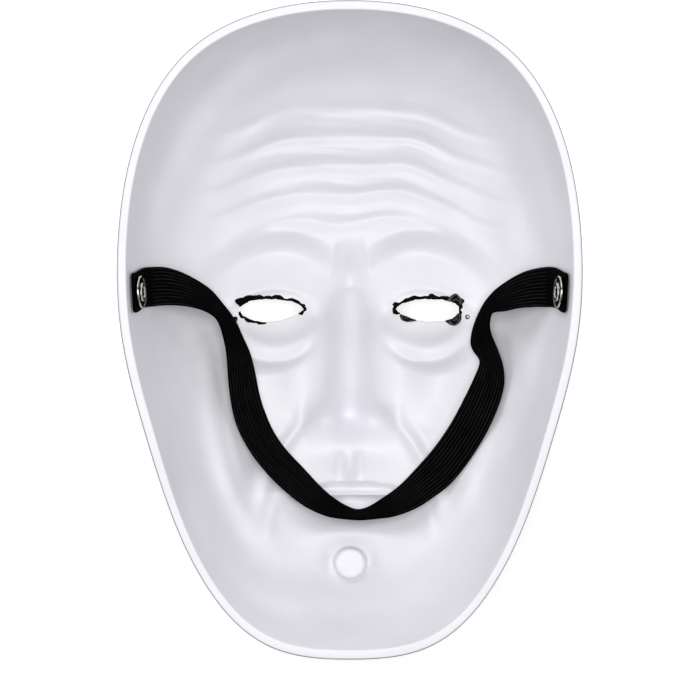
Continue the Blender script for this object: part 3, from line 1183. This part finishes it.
def band_edges(settings):
    """Inner and outer edge of the band, point by point along it, and its length."""
    width, thickness = settings.width / MM, settings.thickness / MM

    def on_wall(side):
        rows = []
        for depth, centre in BAND_END_PLACES:
            edges = (centre + width / 2, centre - width / 2)
            rows.append(np.concatenate([
                inside_point(wall_x(side, y, -depth), y, BAND_END_GAP + thickness / 2) for y in edges]))
        return rows

    in_face = []
    for inner_x, inner_y, outer_x, outer_y, height in BAND_ROUTE:
        scale = 1 - height / SEEN_FROM
        seen = math.hypot(inner_x - outer_x, inner_y - outer_y) * scale
        top = height + math.sqrt(max(width**2 - seen**2, 0))
        outer_scale = 1 - top / SEEN_FROM
        in_face.append(np.array([
            inner_x * scale, inner_y * scale, height, outer_x * outer_scale, outer_y * outer_scale, top]))
    stations = np.array(on_wall(-1) + in_face + on_wall(1)[::-1])
    middle = (stations[:, :3] + stations[:, 3:]) / 2
    span = np.linalg.norm(np.diff(middle, axis=0), axis=1).sum()
    path = spline(stations, int(span / BAND_STEP), closed=False)
    # Even out the path, which keeps its two ends where they are
    n = EVEN_POINTS
    shifts = np.arange(-n, n + 1)
    weights = gauss(shifts / EVEN_REACH)
    padded = np.concatenate([2 * path[:1] - path[n:0:-1], path, 2 * path[-1:] - path[-2:-n - 2:-1]])
    path = sum(w * padded[n + k:len(padded) - n + k] for k, w in zip(shifts, weights / weights.sum()))
    return path[:, :3], path[:, 3:], span


def band_section(settings):
    """Places across the band from 0 to 1, how far in a groove each is, and its height off the middle."""
    half, depth = settings.thickness / MM / 2, settings.rib_depth / MM
    t = np.linspace(0, 1, settings.ribs * RIB_POINTS + 1)
    groove = 1 - np.abs(np.sin(math.pi * settings.ribs * t)) ** RIB_ROUNDNESS
    edge = np.minimum(t, 1 - t) * settings.ribs
    return t, groove, half - depth * groove - BAND_EDGE_THINNING * half * (1 - smooth(edge / BAND_EDGE_RIBS))


def band_body(settings):
    """Ribbed band with a front and a back, and holes for the rivets."""
    inner, outer, span = band_edges(settings)
    across = outer - inner
    width = np.linalg.norm(across, axis=1)
    across /= width[:, None]
    middle = (inner + outer) / 2
    off = np.cross(across, np.gradient(middle, axis=0))
    off /= np.linalg.norm(off, axis=1, keepdims=True)
    off *= np.sign(off[:1] @ rivet_axes(-1)[3])
    t, groove, rise = band_section(settings)
    way = np.concatenate([[0], np.cumsum(np.linalg.norm(np.diff(middle, axis=0), axis=1))])
    # The two ends are cut with round corners and pressed flat
    pressed = np.ones(len(way))
    for from_end in (way, way[-1] - way):
        pressed = pressed - END_PRESSED * gauss(from_end / END_PRESSED_REACH)
    corner = np.clip(END_CORNER - np.minimum(way, way[-1] - way), 0, END_CORNER)
    rounding = 2 * (END_CORNER - np.sqrt(END_CORNER**2 - corner**2))
    scallop = SCALLOP * np.sin(way * 2 * math.pi / SCALLOP_PITCH)
    spread = (t - 0.5)[None, :] * (width + scallop - rounding)[:, None]
    face = middle[:, None, :] + spread[..., None] * across[:, None, :]
    lift = (rise[None, :] * pressed[:, None])[..., None] * off[:, None, :]
    front, back = (face + lift).reshape(-1, 3), (face - lift).reshape(-1, 3)
    rows, columns = spread.shape
    index = np.arange(rows * columns).reshape(rows, columns)
    quads = np.stack([index[:-1, :-1], index[1:, :-1], index[1:, 1:], index[:-1, 1:]], axis=-1).reshape(-1, 4)
    points, faces = closed_skin(front, back, [left_by_rivets(quads, face.reshape(-1, 3))])
    # The ribs close up, and show less, where the band stands on edge
    flatness = smooth((np.abs(off[:, 2]) - OPEN_RIBS_START) / OPEN_RIBS_FADE)
    open_ribs = OPEN_RIBS_LEAST + (1 - OPEN_RIBS_LEAST) * flatness
    groove = (groove[None, :] + RIB_CREST * (1 - open_ribs[:, None])).ravel()
    weave = np.stack([np.repeat(way, columns), np.tile(t, rows), np.zeros(rows * columns)], axis=1)
    weave = np.concatenate([weave, weave + [0, 0, 1]])
    return points, turned_outwards(points, faces), weave, np.tile(groove, 2), span


class BuildStage(bpy.types.Operator):
    """Camera over the open back, soft lights and a pale floor"""
    bl_idname = "clown_mask.stage"
    bl_label = "Stage"

    def execute(self, context):
        settings = context.scene.mask_stage
        scene = context.scene
        look_at = PLACE @ Vector(CAMERA_AIM)
        eye = PLACE @ Vector((0, 0, settings.distance / MM))
        back = (eye - look_at).normalized()
        right = (PLACE.to_3x3() @ Vector((1, 0, 0))).normalized()
        up = back.cross(right)
        camera = bpy.data.objects.new("camera", bpy.data.cameras.new("camera"))
        camera.matrix_world = Matrix.Translation(eye) @ Matrix((right, up, back)).transposed().to_4x4()
        camera.data.sensor_width = SENSOR
        camera.data.lens = SENSOR * settings.distance / settings.field
        camera.data.clip_end = FARTHEST_SEEN
        scene.collection.objects.link(camera)
        scene.camera = camera

        bpy.ops.mesh.primitive_plane_add(size=FLOOR_SIZE, location=(0, 0, 0))
        floor = context.active_object
        floor.name = "floor"
        floor.data.materials.append(floor_paper(settings))

        for name, place, width, power_setting in LIGHTS:
            light = bpy.data.lights.new(name, "AREA")
            light.shape = "DISK"
            light.size = width
            light.energy = getattr(settings, power_setting)
            lamp = bpy.data.objects.new(name, light)
            lamp.location = place
            lamp.rotation_euler = (Vector(place) - Vector(LIGHT_AIM)).to_track_quat("Z", "Y").to_euler()
            scene.collection.objects.link(lamp)

        world = bpy.data.worlds.new("surroundings")
        world.use_nodes = True
        sky = world.node_tree.nodes["Background"].inputs
        sky["Color"].default_value = SKY_COLOUR
        sky["Strength"].default_value = settings.sky
        scene.world = world
        scene.view_settings.view_transform = "Standard"
        return {"FINISHED"}


class BuildShell(bpy.types.Operator):
    """Moulded shell with its face, rim lip, eye slits, pin holes and chin stub"""
    bl_idname = "clown_mask.shell"
    bl_label = "Shell"

    def execute(self, context):
        settings = context.scene.mask_shell
        points, faces, marks = shell_body(settings)
        add_piece("moulded_shell", points, faces, moulded_plastic(settings),
                  ("mask_shell",), marks)
        points, faces = boss_body()
        add_piece("chin_stub", points, faces, bare_boss(settings))
        return {"FINISHED"}


class BuildCutEdges(bpy.types.Operator):
    """Thick paint and torn flakes along the hand-cut eye slits and pin holes"""
    bl_idname = "clown_mask.cut_edges"
    bl_label = "Cut edges"

    def execute(self, context):
        shell, cut = context.scene.mask_shell, context.scene.mask_cut
        finish = cut_paint(cut)

        def add_paint(name, points, faces, heart=None, grey=None):
            marks = None if grey is None else {"heart": heart, "grey": np.full(len(points), grey)}
            add_piece(name, points, faces, finish, marks=marks, crease=CUT_CREASE)

        for side, hand in HANDS.items():
            add_paint(f"slit_burr_{hand}", *burr_body(side, shell, cut))
            points, faces = pin_burr_body(side, cut)
            add_paint(f"pin_burr_{hand}", points, faces, np.full(len(points), 0.5), PIN_GREY[side])
        for k, (name, (side, outline, thickness, grey)) in enumerate(FLAKES.items()):
            add_paint(name, *flake_body(side, outline, thickness, shell, FLAKE_SEED + k), grey)
        return {"FINISHED"}


class BuildBand(bpy.types.Operator):
    """Ribbed elastic head band"""
    bl_idname = "clown_mask.band"
    bl_label = "Band"

    def execute(self, context):
        settings = context.scene.mask_band
        points, faces, weave, groove, span = band_body(settings)
        band = add_piece("elastic_band", points, faces, woven_elastic(settings),
                         ("strap",), {"weave": weave, "groove": groove}, crease=BAND_CREASE)
        span * MM
        return {"FINISHED"}


class BuildRivets(bpy.types.Operator):
    """Hollow rivets and the washers that clamp the ends of the band"""
    bl_idname = "clown_mask.rivets"
    bl_label = "Rivets"

    def execute(self, context):
        finish = nickel_plate(context.scene.mask_metal)
        for side, hand in HANDS.items():
            for name, outline, dulled, node in RIVET_PARTS:
                points, faces, marks = turned_body(outline, side, dulled)
                add_piece(f"{name}_{hand}", points, faces, finish, (f"{node}_{hand}",), marks)
        return {"FINISHED"}


class MaskPanel(bpy.types.Panel):
    """Builds the mask piece by piece"""
    bl_idname = "VIEW3D_PT_clown_mask"
    bl_label = "Clown mask"
    bl_space_type = "VIEW_3D"
    bl_region_type = "UI"
    bl_category = "Clown mask"

    def draw(self, context):
        for operator, settings, _ in BUILD_ORDER:
            box = self.layout.box()
            box.operator(operator.bl_idname)
            group = getattr(context.scene, settings)
            for name in group.bl_rna.properties.keys():
                if name not in ("rna_type", "name"):
                    box.prop(group, name)


# Each operator, and the name and kind of the settings that it reads
BUILD_ORDER = [
    (BuildStage, "mask_stage", StageSettings),
    (BuildShell, "mask_shell", ShellSettings),
    (BuildCutEdges, "mask_cut", CutSettings),
    (BuildBand, "mask_band", BandSettings),
    (BuildRivets, "mask_metal", MetalSettings),
]


def register():
    for operator, name, group in BUILD_ORDER:
        bpy.utils.register_class(group)
        setattr(bpy.types.Scene, name, bpy.props.PointerProperty(type=group))
        bpy.utils.register_class(operator)
    bpy.utils.register_class(MaskPanel)


def unregister():
    bpy.utils.unregister_class(MaskPanel)
    for operator, name, group in reversed(BUILD_ORDER):
        bpy.utils.unregister_class(operator)
        delattr(bpy.types.Scene, name)
        bpy.utils.unregister_class(group)


def main():
    register()
    bpy.ops.clown_mask.stage()
    bpy.ops.clown_mask.shell()
    bpy.ops.clown_mask.cut_edges()
    bpy.ops.clown_mask.band()
    bpy.ops.clown_mask.rivets()


if __name__ == "__main__":
    main()
